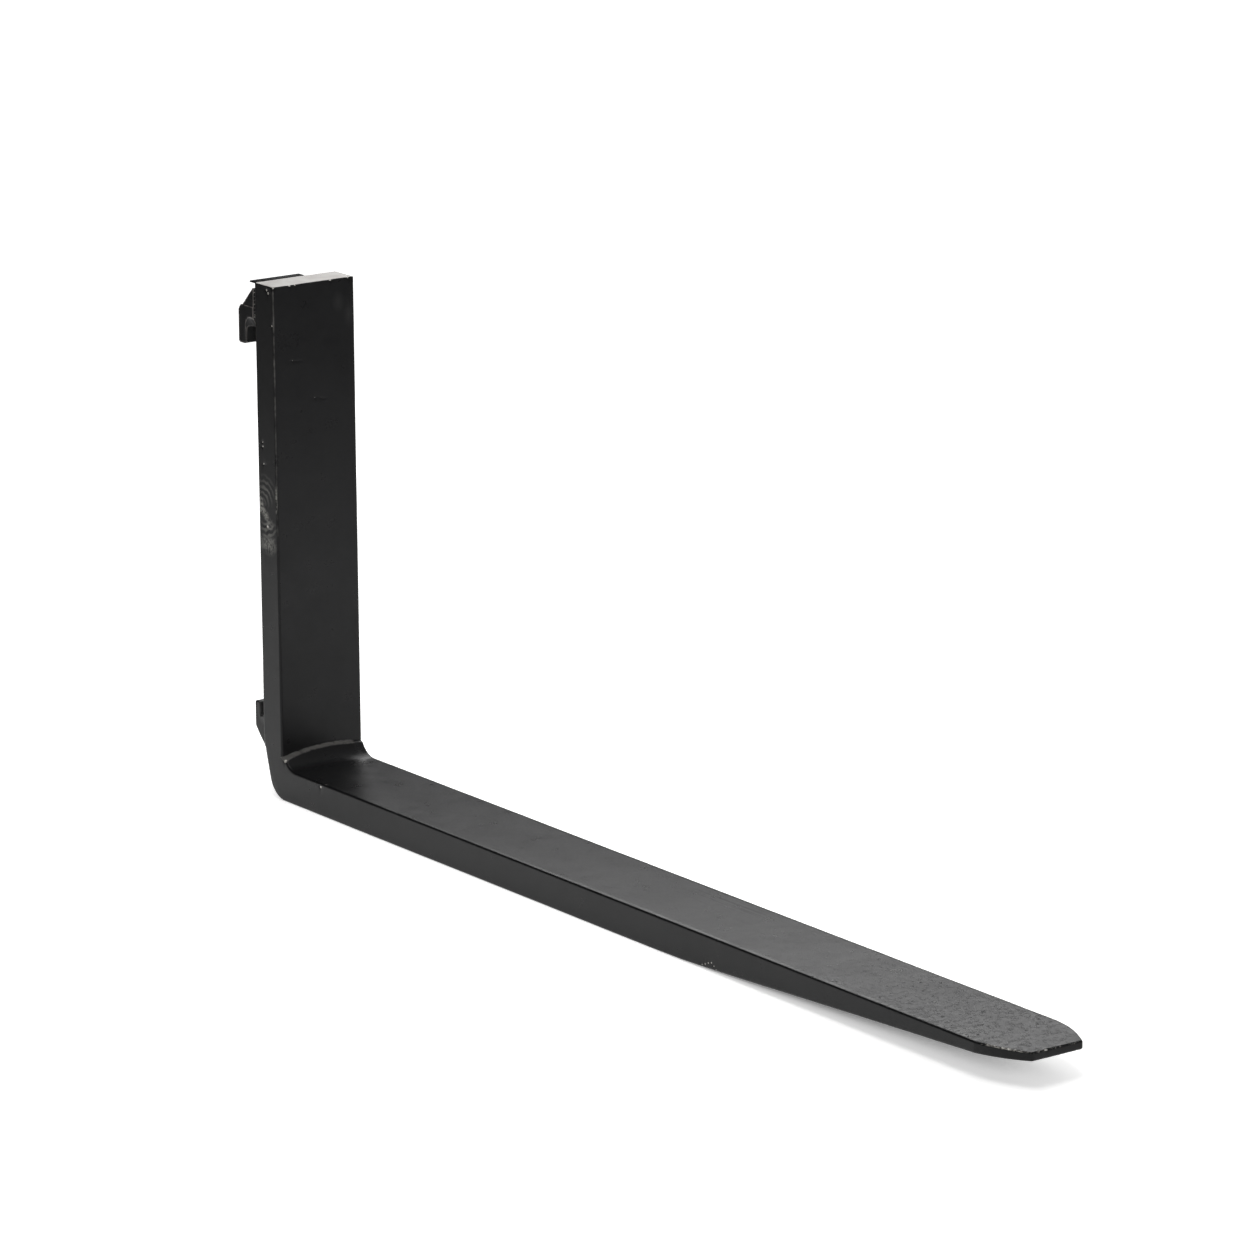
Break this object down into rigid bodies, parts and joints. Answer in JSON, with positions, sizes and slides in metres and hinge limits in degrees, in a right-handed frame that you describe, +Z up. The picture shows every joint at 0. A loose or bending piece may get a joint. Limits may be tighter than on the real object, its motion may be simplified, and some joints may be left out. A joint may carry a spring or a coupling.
{
  "type": "pallet fork arm",
  "caption": "Forged L-shaped pallet fork arm with a tapered blade, upper and lower rear hooks that hang on a lift carriage, and a sprung locking pin raised by a flip lever.",
  "frame": {"origin": "on the floor under the middle of the whole part's box, with the blade's underside at z = 0", "axes": "+Z up along the shank, -Y along the blade towards its tip, X across the bar's width"},
  "size_m": [0.1, 1.266, 0.546],
  "materials": {
    "bar_paint": "satin black paint over forged steel, bare at the sawn top",
    "hook_paint": "satin black paint over forged steel",
    "weld_paint": "black paint over weld ripples",
    "pin_steel": "blackened turned steel",
    "spring_steel": "drawn spring wire",
    "lever_paint": "satin black paint over folded sheet"
  },
  "bodies": {
    "fork": {"fork_arm": "bar_paint", "upper_hook": "hook_paint", "lower_hook": "hook_paint", "upper_hook_weld_left": "weld_paint", "upper_hook_weld_right": "weld_paint", "upper_hook_weld_top_left": "weld_paint", "upper_hook_weld_top_right": "weld_paint", "lower_hook_weld_left": "weld_paint", "lower_hook_weld_right": "weld_paint", "lower_hook_weld_bottom": "weld_paint", "lock_spring": "spring_steel"},
    "pin": {"lock_pin": "pin_steel"},
    "lever": {"lock_lever": "lever_paint", "lever_roll_pin": "pin_steel"}
  },
  "joints": [
    {"name": "lock_pin_lift", "type": "slide", "parent": "fork", "child": "pin", "axis": [0, 0, 1], "range_m": [0, 0.01], "stiffness_N_per_m": 600, "springref_m": -0.008, "deforming": ["lock_spring"]},
    {"name": "lever_flip", "type": "hinge", "parent": "pin", "child": "lever", "pos_m": [0, 0.61025, 0.535], "axis": [0, 1, 0], "range_deg": [0, 90]}
  ],
  "couplings": [
    {"joint": "lever_flip", "follows": "lock_pin_lift", "rad_per_m": 157.08}
  ]
}
